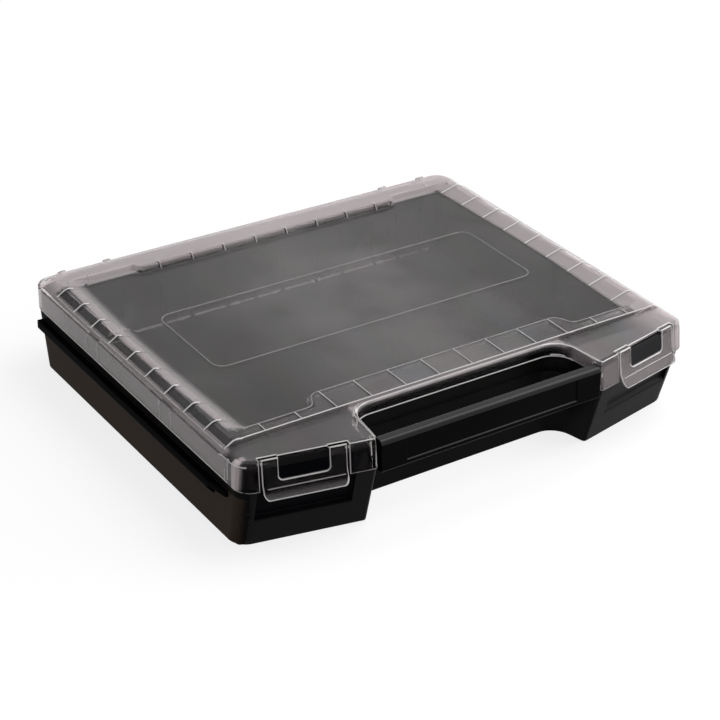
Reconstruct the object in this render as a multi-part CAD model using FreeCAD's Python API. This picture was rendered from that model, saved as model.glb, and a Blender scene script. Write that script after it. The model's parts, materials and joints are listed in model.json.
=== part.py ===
import FreeCAD, Part
import math
import os

from FreeCAD import Vector

# Sizes in millimetres. X runs left to right seen from the front, the front faces -Y, Z is up,
# and the origin is under the middle of the case on the surface that it stands on.

# Overall case
lid_half_width = 180.0
lid_back = 152.5
lid_front = -157.0
crest_z = 70.0

# Lid plan
lid_wall = 2.0
lid_corner_back = 14.0
lid_corner_front = 12.0
front_sweep = 11.3

# Lid heights, as drops below the crest of the rim
skirt_drop = 23.7
bay_skirt_drop = 12.5
shoulder_drop = 6.2
ridge_drop = 3.6
terrace_drop = 2.8
panel_drop = 3.6
panel_wall = 2.0

# Lid section
shoulder_inset = 4.5
crest_inset = 10.5
front_lean = 3.3
crown_gap = 1.0
crown_front_rise = 0.4
crown_corner = 2.0
terrace_overlap = 56.0

# Step along the top of the side skirts, broken by two pads on each side
step_drop = 7.0
step_depth = 1.7
step_end = 16.0
pad_shift = 7.25
pad_spacing = 102.0
pad_width = 15.0

# Groove that parts each side skirt from the front corner
groove_setback = 9.0
groove_width = 0.8
groove_depth = 0.5
groove_rise = 4.0

# Raised beads on the lid
bead_height = 0.6
bead_width = 1.8
bead_overrun = 4.0
frame_side_margin = 21.5
frame_front_margin = 61.2
frame_back_margin = 62.7
frame_corner = 9.0
frame_line = 0.9
frame_height = 0.35

# Lid panel outline
panel_side_margin = 27.0
panel_bow = 3.0
panel_bow_reach = 36.0
panel_bow_round = 500.0
panel_front_margin = 25.5
panel_back_margin = 34.0
panel_ear_front_depth = 13.5
panel_ear_back_depth = 7.5
panel_ear_front_reach = 51.0
panel_ear_back_reach = 43.0
panel_ear_front_run = 7.0
panel_ear_back_run = 4.0
panel_ear_front_round = 6.0
panel_ear_back_round = 3.0
panel_corner = 9.0
panel_side_slope = 13.5
panel_end_slope = 2.6

# Stiffening ribs under the lid rim
rib_wall = 1.3
rib_drop = 5.2
rib_side_count = 10
rib_side_front_gap = 0.7
rib_side_back_gap = 34.7
rib_back_count = 8
rib_front_count = 12
rib_end_gap = 33.15
rib_back_reach = 8.0

# Handle bay between the two towers
tower_width = 89.8
bay_taper = 5.2
tower_end_depth = 24.056
bay_corner = 17.0
tower_corner = 2.5

# Tray
tray_overhang = 1.0
tray_foot_side_inset = 3.5
tray_foot_back_inset = 6.0
tray_foot_front_inset = 12.3
tray_foot_bay_inset = 3.6
tray_foot_tower_inset = 0.5
tray_foot_corner_inset = 1.5
tray_wall = 2.5
tray_floor = 3.0
tray_corner_front = 13.0
tray_corner_back = 12.0
ledge_gap = 0.4
rim_drop = 9.5
lid_clearance = 0.8
cavity_corner = 10.0
tower_deck = 3.0

# Ribs on the inside of the tray's back wall, at shares of its half width
wall_rib_width = 2.0
wall_rib_depth = 1.6
wall_rib_drop = 30.0
wall_rib_shares = (0.0, 0.1388, 0.3116, 0.4476, 0.6204, 0.7479, 0.8754)

# Latch flaps, placed along the swept front edge of each tower
flap_inner_margin = 19.2
flap_outer_margin = 12.675
flap_gap = 0.7
flap_wall = 1.7
flap_knee_rise = 4.5
flap_lip_drop = 4.5
flap_lip_reach = 4.9
flap_lip_corner = 5.0
window_inner_margin = 12.7
window_outer_margin = 12.1
window_rise = 5.7
window_corner = 3.0
pivot_inset = 4.6
pivot_drop = 5.4
barrel_radius = 1.9
barrel_clearance = 0.5
pivot_pin_radius = 1.0
pivot_pin_hold = 3.4
pivot_pin_reach = 5.0
boss_length = 4.0
pin_seat_clearance = 0.02
pin_running_clearance = 0.06

# Finger recess under each latch
recess_inner_margin = 4.2
recess_outer_margin = 1.6
recess_drop = 24.3
recess_depth = 3.2
recess_slope = 3.2

# Catch noses on the tray
nose_clearance = 0.5
nose_setback = 0.5
nose_bevel_drop = 9.0
nose_top_drop = 5.2
nose_bevel_depth = 4.6
nose_depth = 5.3
notch_clearance = 0.6
notch_corner = 2.4

# Rear hinges
hinge_stand_off = 1.7
hinge_drop = 1.3
hinge_inner_margin = 59.4
hinge_outer_margin = 23.7
knuckle_radius = 3.8
hinge_pin_radius = 1.75
knuckle_width = 4.2
knuckle_gap = 0.4
hinge_relief = 0.6
arm_top_drop = 3.2
arm_bend_rise = 11.4
lug_foot_drop = 15.2
lug_room_depth = 4.0

# Handle bar
bar_end_gap = 1.8
bar_bottom_drop = 4.1
bar_top_drop = 5.0
bar_front_proud = 0.6
bar_front_lean = 1.2
bar_depth = 9.4
bar_round_top = 3.2
bar_round_bottom = 1.6
label_end_margin = 19.9
label_bottom_margin = 3.8
label_top_margin = 3.7
label_depth = 0.8
tenon_length = 8.4
tenon_bottom_margin = 5.8
tenon_top_margin = 7.0
tenon_setback = 6.6
tenon_thickness = 2.6
tenon_clearance = 0.2

# Side runners
runner_stand_out = 3.5
runner_top_drop = 6.5
runner_edge_drop = 12.6
runner_foot_drop = 18.8
runner_back_gap = 13.9
runner_front_gap = 54.0
runner_nose_length = 18.0
runner_nose_height = 4.4
runner_nose_taper = 3.0

# Places worked out from the sizes above: the sweep and the levels of the lid
sweep = math.radians(front_sweep)
sweep_slope = math.tan(sweep)
skirt_bottom = crest_z - skirt_drop
bay_skirt_bottom = crest_z - bay_skirt_drop
shoulder_z = crest_z - shoulder_drop
ridge_z = crest_z - ridge_drop
terrace_z = crest_z - terrace_drop
panel_z = crest_z - panel_drop
step_z = crest_z - step_drop
rib_bottom = crest_z - rib_drop
skirt_height = terrace_z - skirt_bottom
neck_inset = lid_wall + lid_clearance

# Handle bay and towers
bay_half_front = lid_half_width - tower_width
bay_half_back = bay_half_front - bay_taper
bay_back = lid_front + tower_width * sweep_slope + tower_end_depth
crown_front = bay_back + crown_gap
tower_length = tower_width / math.cos(sweep)

# Panel and its frame
panel_half_ends = lid_half_width - panel_side_margin
panel_half_middle = panel_half_ends + panel_bow
panel_front = crown_front + panel_front_margin
panel_front_ears = panel_front - panel_ear_front_depth
panel_back = lid_back - panel_back_margin
panel_back_ears = panel_back + panel_ear_back_depth
panel_middle_y = (panel_front + panel_back) / 2.0
panel_ear_front_x = panel_half_ends - panel_ear_front_reach
panel_ear_back_x = panel_half_ends - panel_ear_back_reach
frame_half_width = panel_half_ends - frame_side_margin
frame_front = panel_front + frame_front_margin
frame_back = panel_back - frame_back_margin
pad_middle = (lid_front + lid_back) / 2.0 + pad_shift
rib_side_first = crown_front + rib_side_front_gap
rib_side_pitch = (lid_back - rib_side_back_gap - rib_side_first) / (rib_side_count - 1)
rib_end_pitch = 2.0 * (lid_half_width - rib_end_gap) / (rib_front_count - 1)

# Tray
ledge_z = skirt_bottom - ledge_gap
rim_z = crest_z - rim_drop
wall_rib_top = crest_z - wall_rib_drop
tray_half_foot = lid_half_width - tray_foot_side_inset
tray_back_foot = lid_back - tray_foot_back_inset
tray_front_foot = lid_front + tray_foot_front_inset
tray_bay_back_foot = bay_back - tray_foot_bay_inset
tray_bay_half_foot = bay_half_front - tray_foot_tower_inset
tray_bay_half_back_foot = bay_half_back - tray_foot_corner_inset
tray_half_ledge = lid_half_width - tray_overhang
tray_back_ledge = lid_back - tray_overhang
tray_front_ledge = lid_front + tray_overhang
tray_bay_back_ledge = bay_back + tray_overhang

# Latches
flap_start = flap_inner_margin
flap_end = tower_length - flap_outer_margin
flap_knee_z = skirt_bottom + flap_knee_rise
flap_lip_z = skirt_bottom - flap_lip_drop
window_start = flap_start + window_inner_margin
window_end = flap_end - window_outer_margin
window_bottom = skirt_bottom + window_rise
recess_start = flap_start - recess_inner_margin
recess_end = flap_end + recess_outer_margin
recess_bottom = skirt_bottom - recess_drop
pivot_z = crest_z - pivot_drop
nose_bevel_z = crest_z - nose_bevel_drop
nose_top_z = crest_z - nose_top_drop
flap_cut_reach = flap_lip_reach + nose_depth

# Rear hinges
hinge_y = lid_back + hinge_stand_off
hinge_z = skirt_bottom - hinge_drop
hinge_inner_x = lid_half_width - hinge_inner_margin
hinge_outer_x = lid_half_width - hinge_outer_margin
arm_top_z = crest_z - arm_top_drop
arm_bend_z = hinge_z + arm_bend_rise
lug_foot_z = hinge_z - lug_foot_drop

# Handle bar
bar_half_length = bay_half_front - bar_end_gap
bar_bottom = skirt_bottom - bar_bottom_drop
bar_top = crest_z - bar_top_drop
bar_front_bottom = lid_front - bar_front_proud
bar_front_top = bar_front_bottom + bar_front_lean
bar_back_bottom = bar_front_bottom + bar_depth
bar_back_top = bar_front_top + bar_depth
label_half_length = bar_half_length - label_end_margin
label_bottom = bar_bottom + label_bottom_margin
label_top = bar_top - label_top_margin
tenon_bottom = bar_bottom + tenon_bottom_margin
tenon_top = bar_top - tenon_top_margin
tenon_front = bar_front_bottom + tenon_setback
tenon_back = tenon_front + tenon_thickness

# Side runners
runner_reach = lid_half_width + runner_stand_out
runner_top = skirt_bottom - runner_top_drop
runner_edge = skirt_bottom - runner_edge_drop
runner_foot = skirt_bottom - runner_foot_drop
runner_back = lid_back - runner_back_gap
runner_front = lid_front + runner_front_gap
runner_nose_front = runner_front - runner_nose_length
runner_nose_bottom = runner_top - runner_nose_height


def rounded_wire(corners, z):
    # A closed outline at height z. Each corner is x, y and the radius that rounds it.
    edges = []
    starts = []
    ends = []
    count = len(corners)
    for index in range(count):
        x, y, radius = corners[index]
        here = Vector(x, y, z)
        before = Vector(corners[index - 1][0], corners[index - 1][1], z)
        after = Vector(corners[(index + 1) % count][0], corners[(index + 1) % count][1], z)
        back = (before - here).normalize()
        ahead = (after - here).normalize()
        half = back.getAngle(ahead) / 2.0
        reach = radius / math.tan(half)
        bisector = (back + ahead).normalize()
        middle = here + bisector * (radius / math.sin(half) - radius)
        starts.append(here + back * reach)
        ends.append(here + ahead * reach)
        edges.append(Part.Arc(starts[index], middle, ends[index]).toShape())
    outline = []
    for index in range(count):
        outline.append(edges[index])
        outline.append(Part.LineSegment(ends[index], starts[(index + 1) % count]).toShape())
    return Part.Wire(outline)


def mirrored(half):
    # The right-hand corners, listed from front to back, followed by their mirror images.
    return half + [(-x, y, radius) for x, y, radius in reversed(half)]


def loft(wires):
    return Part.makeLoft(wires, True, True)


def box(x0, x1, y0, y1, z0, z1):
    return Part.makeBox(x1 - x0, y1 - y0, z1 - z0, Vector(x0, y0, z0))


def prism_x(profile, x0, x1):
    # A solid along X from points given as y and z.
    points = [Vector(x0, y, z) for y, z in profile]
    face = Part.Face(Part.makePolygon(points + [points[0]]))
    return face.extrude(Vector(x1 - x0, 0, 0))


def rod_x(radius, y, z, x0, x1):
    return Part.makeCylinder(radius, x1 - x0, Vector(x0, y, z), Vector(1, 0, 0))


def on_front(shape):
    # From the latch frame, x along the swept front edge and y into the case, to its place on the right.
    placed = shape.copy()
    placed.rotate(Vector(0, 0, 0), Vector(0, 0, 1), front_sweep)
    placed.translate(Vector(bay_half_front, lid_front, 0))
    return placed


def left_of(shape):
    return shape.mirror(Vector(0, 0, 0), Vector(1, 0, 0))


def both(shape):
    return shape.fuse(left_of(shape))


def case_outline(half_width, back, front, half_front, half_back, bay_y, z, corners):
    front_radius, back_radius, grow = corners
    outer_front = front + sweep_slope * (half_width - half_front)
    half = [
        (half_back, bay_y, bay_corner - grow),
        (half_front, front, tower_corner),
        (half_width, outer_front, front_radius),
        (half_width, back, back_radius),
    ]
    return rounded_wire(mirrored(half), z)


def lean_at(z):
    # How far the front skirt has leaned into the case at height z.
    return front_lean * (z - skirt_bottom) / skirt_height


def tray_half_at(z):
    return tray_half_foot + (tray_half_ledge - tray_half_foot) * z / ledge_z


def make_base_tray():
    corners = (tray_corner_front, tray_corner_back, 0.0)
    foot = case_outline(tray_half_foot, tray_back_foot, tray_front_foot, tray_bay_half_foot,
                        tray_bay_half_back_foot, tray_bay_back_foot, 0.0, corners)
    ledge = case_outline(tray_half_ledge, tray_back_ledge, tray_front_ledge, bay_half_front,
                         bay_half_back, tray_bay_back_ledge, ledge_z, corners)
    body = loft([foot, ledge])
    neck_half = lid_half_width - neck_inset
    neck_back = lid_back - neck_inset
    neck_half_front = bay_half_front + neck_inset
    neck_half_back = bay_half_back + neck_inset
    neck_bay = bay_back + neck_inset
    neck = []
    for z in (ledge_z, rim_z):
        front = lid_front + lean_at(z) + neck_inset
        neck.append(case_outline(neck_half, neck_back, front, neck_half_front, neck_half_back,
                                 neck_bay, z, corners))
    body = body.fuse(loft(neck))
    body = body.fuse(both(make_nose()))
    body = body.cut(make_cavity(neck_half, neck_back, neck_bay))
    body = body.cut(both(make_tower_hollow(neck_half, neck_half_front, neck_half_back, neck_bay)))
    body = body.cut(both(make_finger_recess()))
    body = body.fuse(make_wall_ribs())
    body = body.fuse(both(make_hinge_lug()))
    body = body.cut(both(make_hinge_room()))
    slot = box(-bar_half_length - tenon_length - tenon_clearance,
               bar_half_length + tenon_length + tenon_clearance,
               tenon_front - tenon_clearance, tenon_back + tenon_clearance,
               tenon_bottom - tenon_clearance, tenon_top + tenon_clearance)
    return body.cut(slot).removeSplitter()


def make_cavity(neck_half, neck_back, neck_bay):
    low_half = tray_half_foot - tray_wall - tray_overhang
    low = [(low_half, tray_bay_back_foot + tray_wall, cavity_corner),
           (low_half, tray_back_foot - tray_wall, cavity_corner)]
    high = [(neck_half - tray_wall, neck_bay + tray_wall, cavity_corner),
            (neck_half - tray_wall, neck_back - tray_wall, cavity_corner)]
    return loft([rounded_wire(mirrored(low), tray_floor), rounded_wire(mirrored(high), rim_z)])


def make_tower_hollow(neck_half, neck_half_front, neck_half_back, neck_bay):
    # The towers beside the bay are hollow from below and closed by a deck on top.
    top = rim_z - tower_deck
    wires = []
    rows = ((tray_half_foot, tray_front_foot, tray_bay_half_foot, tray_bay_half_back_foot,
             tray_bay_back_foot, 0.0),
            (neck_half, lid_front + lean_at(top) + neck_inset, neck_half_front, neck_half_back,
             neck_bay, top))
    for half, front, half_front, half_back, wall_y, z in rows:
        inner = half_front + tray_wall
        outer = half - tray_wall
        first = front + tray_wall + sweep_slope * tray_wall
        last = first + sweep_slope * (outer - inner)
        corners = [(inner, first, tower_corner), (outer, last, tower_corner),
                   (outer, wall_y, tower_corner), (inner, wall_y, tower_corner)]
        wires.append(rounded_wire(corners, z))
    return loft(wires)


def make_nose():
    start = window_start + nose_clearance
    end = window_end - nose_clearance
    low = window_bottom + nose_clearance
    profile = [
        (lean_at(low) + nose_setback, low),
        (lean_at(nose_bevel_z) + nose_setback, nose_bevel_z),
        (nose_bevel_depth, nose_top_z),
        (nose_depth, nose_top_z),
        (nose_depth, low),
    ]
    nose = prism_x(profile, start, end)
    corners = [edge for edge in nose.Edges if edge.BoundBox.ZMax < low + nose_clearance
               and edge.BoundBox.XLength < nose_clearance]
    return on_front(nose.makeFillet(window_corner - nose_clearance, corners))


def face_depth(z):
    # Depth of the tray's tower face behind the foot of the lid skirt at height z.
    front = tray_front_foot + (tray_front_ledge - tray_front_foot) * z / ledge_z
    return (front - lid_front) * math.cos(sweep)


def make_finger_recess():
    out = face_depth(0.0)
    low = recess_bottom - recess_slope / 2.0
    high = recess_bottom + recess_slope / 2.0
    profile = [
        (face_depth(recess_bottom) - out, low),
        (face_depth(recess_bottom), low),
        (face_depth(recess_bottom) + recess_depth, high),
        (face_depth(ledge_z) + recess_depth, skirt_bottom),
        (face_depth(ledge_z) - out, skirt_bottom),
    ]
    return on_front(prism_x(profile, recess_start, recess_end))


def make_wall_ribs():
    ribs = []
    places = sorted({side * share * tray_half_foot for share in wall_rib_shares for side in (-1.0, 1.0)})
    low = tray_back_foot - tray_wall
    high = lid_back - neck_inset - tray_wall
    slope = (high - low) / (rim_z - tray_floor)
    top = low + slope * (wall_rib_top - tray_floor)
    profile = [(low - wall_rib_depth, tray_floor), (low + wall_rib_depth, tray_floor),
               (top + wall_rib_depth, wall_rib_top), (top - wall_rib_depth, wall_rib_top)]
    for place in places:
        ribs.append(prism_x(profile, place - wall_rib_width / 2.0, place + wall_rib_width / 2.0))
    return ribs


def make_hinge_lug():
    start = hinge_inner_x + knuckle_width / 2.0 + knuckle_gap
    end = hinge_outer_x - knuckle_width / 2.0 - knuckle_gap
    inside = tray_back_foot - tray_wall / 2.0
    profile = [(inside, lug_foot_z), (tray_back_foot + tray_wall, lug_foot_z),
               (hinge_y + knuckle_radius, hinge_z), (hinge_y, hinge_z + knuckle_radius / 2.0),
               (inside + tray_wall, hinge_z)]
    lug = prism_x(profile, start, end)
    lug = lug.fuse(rod_x(knuckle_radius, hinge_y, hinge_z, start, end))
    return lug.cut(rod_x(hinge_pin_radius + pin_seat_clearance, hinge_y, hinge_z, start, end))


def make_hinge_room():
    # Hollows in the tray's back wall, which the lid's knuckles turn in.
    rooms = []
    for place in (hinge_inner_x, hinge_outer_x):
        half = knuckle_width / 2.0 + knuckle_gap
        rooms.append(rod_x(knuckle_radius + hinge_relief, hinge_y, hinge_z, place - half, place + half))
    return rooms[0].fuse(rooms[1])


def rim_outline(inset, front, z):
    half = [(lid_half_width - inset, front, crown_corner),
            (lid_half_width - inset, lid_back - inset, lid_corner_back - inset / 2.0)]
    return rounded_wire(mirrored(half), z)


def make_rim_body(wall):
    # The raised rim round the panel, or the space under it when a wall thickness is given.
    return loft([
        rim_outline(wall, crown_front + wall, skirt_bottom - wall),
        rim_outline(wall, crown_front + wall, shoulder_z - wall),
        rim_outline(shoulder_inset + wall / 2.0, crown_front + wall, ridge_z - wall),
        rim_outline(crest_inset, crown_front + crown_front_rise + wall, crest_z - wall),
    ])


def make_terrace_body(wall):
    # The flat ledges over the towers, or the space under them when a wall thickness is given.
    wires = []
    rows = ((wall, skirt_bottom - wall, skirt_bottom), (wall, shoulder_z - wall, shoulder_z),
            (shoulder_inset + wall / 2.0, terrace_z - wall, terrace_z))
    for inset, z, lean_z in rows:
        front = lid_front + lean_at(lean_z) + wall
        wires.append(case_outline(lid_half_width - inset, crown_front + terrace_overlap, front,
                                  bay_half_front + wall, bay_half_back + wall, bay_back + wall, z,
                                  (lid_corner_front - wall, lid_corner_back, wall)))
    return loft(wires)


def make_side_steps():
    # The step is cut along one side between the pads, which keep the full shoulder.
    outer = lid_half_width - step_depth
    front = crown_front
    back = lid_back - step_end
    step = box(outer, lid_half_width + step_depth, front, back, step_z, crest_z)
    for side in (-1.0, 1.0):
        middle = pad_middle + side * pad_spacing / 2.0
        step = step.cut(box(outer - step_depth, lid_half_width + 2.0 * step_depth,
                            middle - pad_width / 2.0, middle + pad_width / 2.0, step_z, crest_z))
    return step


def make_panel_frame():
    # The plain rounded frame that stands proud of the panel.
    rings = []
    for inset in (0.0, frame_line):
        half = [(frame_half_width - inset, frame_front + inset, frame_corner - inset),
                (frame_half_width - inset, frame_back - inset, frame_corner - inset)]
        face = Part.Face(rounded_wire(mirrored(half), panel_z - frame_height))
        rings.append(face.extrude(Vector(0, 0, 2.0 * frame_height)))
    return rings[0].cut(rings[1])


def make_bay_bead():
    # A low bead along the edge of the handle bay, on top of the ledges.
    rows = ((0.0, 0.0), (bead_width, bead_overrun))
    rings = []
    for grow, beyond in rows:
        wires = []
        for z in (terrace_z - bead_height, terrace_z + bead_height):
            front = lid_front + lean_at(terrace_z) - beyond
            wires.append(case_outline(lid_half_width - shoulder_inset + beyond,
                                      crown_front + bead_overrun + beyond, front, bay_half_front + grow,
                                      bay_half_back + grow, bay_back + grow, z,
                                      (lid_corner_front, lid_corner_back, grow)))
        rings.append(loft(wires))
    return rings[0].cut(rings[1])


def make_corner_groove():
    # A narrow upright groove near the front end of one side skirt.
    middle = crown_front - groove_setback
    return box(lid_half_width - groove_depth, lid_half_width + groove_depth, middle - groove_width / 2.0,
               middle + groove_width / 2.0, skirt_bottom + groove_rise, terrace_z)


def panel_outline(side_grow, end_grow, z):
    ends = panel_half_ends + side_grow
    middle = panel_half_middle + side_grow
    front_ears = panel_front_ears - end_grow
    back_ears = panel_back_ears + end_grow
    half = [
        (panel_ear_front_x - end_grow, panel_front - end_grow, panel_ear_front_round),
        (panel_ear_front_x + panel_ear_front_run - end_grow, front_ears, panel_ear_front_round),
        (ends, front_ears, panel_corner),
        (middle, panel_middle_y - panel_bow_reach, panel_bow_round),
        (middle, panel_middle_y + panel_bow_reach, panel_bow_round),
        (ends, back_ears, panel_corner),
        (panel_ear_back_x + panel_ear_back_run - end_grow, back_ears, panel_ear_back_round),
        (panel_ear_back_x - end_grow, panel_back + end_grow, panel_ear_back_round),
    ]
    return rounded_wire(mirrored(half), z)


def make_panel_recess(wall):
    # The dished panel, or the same dish thickened downwards and outwards by a wall.
    top = crest_z + lid_wall
    rise = (top - panel_z) / (crest_z - panel_z)
    return loft([panel_outline(wall, wall, panel_z - wall),
                 panel_outline(panel_side_slope * rise + wall, panel_end_slope * rise + wall, top)])


def make_rim_ribs():
    ribs = []
    half = rib_wall / 2.0
    for index in range(rib_side_count):
        y = rib_side_first + rib_side_pitch * index
        for side in (-1.0, 1.0):
            inner = side * (panel_half_middle - lid_wall)
            outer = side * lid_half_width
            ribs.append(box(min(inner, outer), max(inner, outer), y - half, y + half, rib_bottom, crest_z))
    for index in range(rib_back_count):
        x = rib_end_pitch * (index - (rib_back_count - 1) / 2.0)
        ribs.append(box(x - half, x + half, panel_back, panel_back + rib_back_reach, rib_bottom, crest_z))
    for index in range(rib_front_count):
        x = rib_end_pitch * (index - (rib_front_count - 1) / 2.0)
        end = panel_front if abs(x) < panel_ear_front_x else panel_front_ears
        ribs.append(box(x - half, x + half, crown_front - lid_wall, end, rib_bottom, crest_z))
    return ribs


def make_pivot_boss(start, end):
    low = pivot_z - barrel_radius - lid_wall / 2.0
    profile = [(lean_at(low) + lid_wall / 2.0, low), (pivot_inset + barrel_radius, low),
               (pivot_inset + barrel_radius, terrace_z - lid_wall / 2.0),
               (lean_at(terrace_z) + lid_wall / 2.0, terrace_z - lid_wall / 2.0)]
    return prism_x(profile, start, end)


def make_latch_opening():
    # Two pockets for the pivot ends of one flap, with a round-cornered notch between them for the catch nose.
    deep = pivot_inset + barrel_radius + barrel_clearance
    reach = flap_lip_reach + flap_wall
    pockets = box(flap_start, window_start + flap_gap, -reach, deep, flap_lip_z, crest_z)
    pockets = pockets.fuse(box(window_end - flap_gap, flap_end, -reach, deep, flap_lip_z, crest_z))
    notch = box(window_start, window_end, -reach, nose_depth + notch_clearance, flap_lip_z, crest_z)
    corners = [edge for edge in notch.Edges if edge.BoundBox.YMin > nose_depth
               and edge.BoundBox.ZLength > notch_corner]
    notch = notch.makeFillet(notch_corner, corners)
    return pockets.fuse(notch)


def pivot_rod(radius, start, end):
    return rod_x(radius, pivot_inset, pivot_z, start, end)


def make_hinge_arm(place):
    start = place - knuckle_width / 2.0
    end = place + knuckle_width / 2.0
    skirt = lid_back - lid_wall / 2.0
    profile = [(lid_back - shoulder_inset, ridge_z), (lid_back - shoulder_inset / 2.0, arm_top_z),
               (hinge_y, ridge_z - lid_wall), (hinge_y + knuckle_radius, arm_bend_z),
               (hinge_y + knuckle_radius, hinge_z), (hinge_y - knuckle_radius / 2.0, hinge_z),
               (skirt, skirt_bottom + lid_wall), (skirt, shoulder_z)]
    arm = prism_x(profile, start, end)
    arm = arm.fuse(rod_x(knuckle_radius, hinge_y, hinge_z, start, end))
    return arm.cut(rod_x(hinge_pin_radius + pin_running_clearance, hinge_y, hinge_z, start, end))


def make_lid():
    body = make_rim_body(0.0).fuse(make_terrace_body(0.0))
    body = body.cut(make_panel_recess(0.0))
    hollow = make_rim_body(lid_wall).fuse(make_terrace_body(lid_wall))
    hollow = hollow.cut(make_panel_recess(panel_wall))
    hollow = hollow.cut(make_rim_ribs())
    body = body.cut(hollow)
    body = body.cut(both(make_side_steps().fuse(make_corner_groove())))
    body = body.fuse([make_panel_frame(), make_bay_bead()])
    bosses = make_pivot_boss(flap_start - boss_length, flap_start)
    bosses = bosses.fuse(make_pivot_boss(flap_end, flap_end + boss_length))
    body = body.fuse(both(on_front(bosses)))
    body = body.cut(both(on_front(make_latch_opening())))
    seat = pivot_pin_radius + pin_seat_clearance
    seats = pivot_rod(seat, flap_start - pivot_pin_hold, flap_start)
    seats = seats.fuse(pivot_rod(seat, flap_end, flap_end + pivot_pin_hold))
    body = body.cut(both(on_front(seats)))
    bay_room = bay_half_front + neck_inset
    front_plates = lid_front + lean_at(bay_skirt_bottom) + neck_inset
    body = body.cut(box(-bay_room, bay_room, front_plates, bay_back + neck_inset,
                        skirt_bottom - lid_wall, bay_skirt_bottom))
    bar_room = box(-bay_room, bay_room, front_plates, tenon_back + lid_wall, skirt_bottom - lid_wall,
                   bar_top - lid_clearance)
    body = body.cut(bar_room)
    start = hinge_inner_x - knuckle_width / 2.0
    end = hinge_outer_x + knuckle_width / 2.0
    lug_room = box(start, end, lid_back - lug_room_depth, lid_back + lug_room_depth,
                   skirt_bottom - lid_wall, hinge_z + knuckle_radius + 2.0 * hinge_relief)
    body = body.cut(both(lug_room))
    arms = make_hinge_arm(hinge_inner_x).fuse(make_hinge_arm(hinge_outer_x))
    return body.fuse(both(arms)).removeSplitter()


def flap_profile():
    # Section of a flap: pivot end on top, a straight front and a lip that flares out for a finger.
    top = terrace_z
    knee = lean_at(flap_knee_z)
    lip_low = flap_lip_z - flap_wall / 2.0
    return [
        (lean_at(top), top),
        (knee, flap_knee_z),
        (-flap_lip_reach, flap_lip_z),
        (-flap_lip_reach + flap_wall / 2.0, lip_low),
        (knee + flap_wall, flap_knee_z - flap_wall / 2.0),
        (lean_at(pivot_z - barrel_radius) + flap_wall, pivot_z - barrel_radius),
        (pivot_inset, pivot_z - barrel_radius),
        (pivot_inset, top),
    ]


def make_window():
    window = box(window_start, window_end, -flap_cut_reach, flap_cut_reach, window_bottom, crest_z)
    corners = [edge for edge in window.Edges if edge.BoundBox.ZMax < window_bottom + window_corner
               and edge.BoundBox.YLength > flap_cut_reach]
    return window.makeFillet(window_corner, corners)


def make_latch_flap():
    start = flap_start + flap_gap
    end = flap_end - flap_gap
    flap = prism_x(flap_profile(), start, end)
    flap = flap.fuse(pivot_rod(barrel_radius, start, end))
    low = flap_lip_z - flap_wall / 2.0
    high = low + flap_lip_corner
    for edge, middle in ((start, start + flap_lip_corner), (end, end - flap_lip_corner)):
        corner = box(min(edge, middle), max(edge, middle), -flap_cut_reach, flap_cut_reach, low, high)
        rounding = Part.makeCylinder(flap_lip_corner, 2.0 * flap_cut_reach,
                                     Vector(middle, -flap_cut_reach, high), Vector(0, 1, 0))
        flap = flap.cut(corner.cut(rounding))
    flap = flap.cut(make_window())
    bore = pivot_pin_radius + pin_running_clearance
    flap = flap.cut(pivot_rod(bore, start, flap_start + pivot_pin_reach + flap_gap))
    flap = flap.cut(pivot_rod(bore, flap_end - pivot_pin_reach - flap_gap, end))
    return on_front(flap.removeSplitter())


def make_latch_pins():
    inner = pivot_rod(pivot_pin_radius, flap_start - pivot_pin_hold, flap_start + pivot_pin_reach)
    outer = pivot_rod(pivot_pin_radius, flap_end - pivot_pin_reach, flap_end + pivot_pin_hold)
    return Part.makeCompound([on_front(inner), on_front(outer)])


def make_hinge_pin():
    reach = knuckle_width / 2.0 - knuckle_gap
    return rod_x(hinge_pin_radius, hinge_y, hinge_z, hinge_inner_x - reach, hinge_outer_x + reach)


def make_handle_bar():
    profile = [(bar_front_bottom, bar_bottom), (bar_front_top, bar_top), (bar_back_top, bar_top),
               (bar_back_bottom, bar_bottom)]
    bar = prism_x(profile, -bar_half_length, bar_half_length)
    long_edges = [edge for edge in bar.Edges if edge.Length > bar_half_length]
    top_edges = [edge for edge in long_edges if edge.CenterOfMass.z > label_top]
    bar = bar.makeFillet(bar_round_top, top_edges)
    long_edges = [edge for edge in bar.Edges if edge.Length > bar_half_length]
    low_edges = [edge for edge in long_edges if edge.CenterOfMass.z < bar_bottom + bar_round_bottom]
    bar = bar.makeFillet(bar_round_bottom, low_edges)
    lean = (bar_front_top - bar_front_bottom) / (bar_top - bar_bottom)
    low = bar_front_bottom + lean * (label_bottom - bar_bottom)
    high = bar_front_bottom + lean * (label_top - bar_bottom)
    label = prism_x([(low - label_depth, label_bottom), (low + label_depth, label_bottom),
                     (high + label_depth, label_top), (high - label_depth, label_top)],
                    -label_half_length, label_half_length)
    bar = bar.cut(label)
    tenon = box(-bar_half_length - tenon_length, bar_half_length + tenon_length, tenon_front, tenon_back,
                tenon_bottom, tenon_top)
    return bar.fuse(tenon).removeSplitter()


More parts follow.
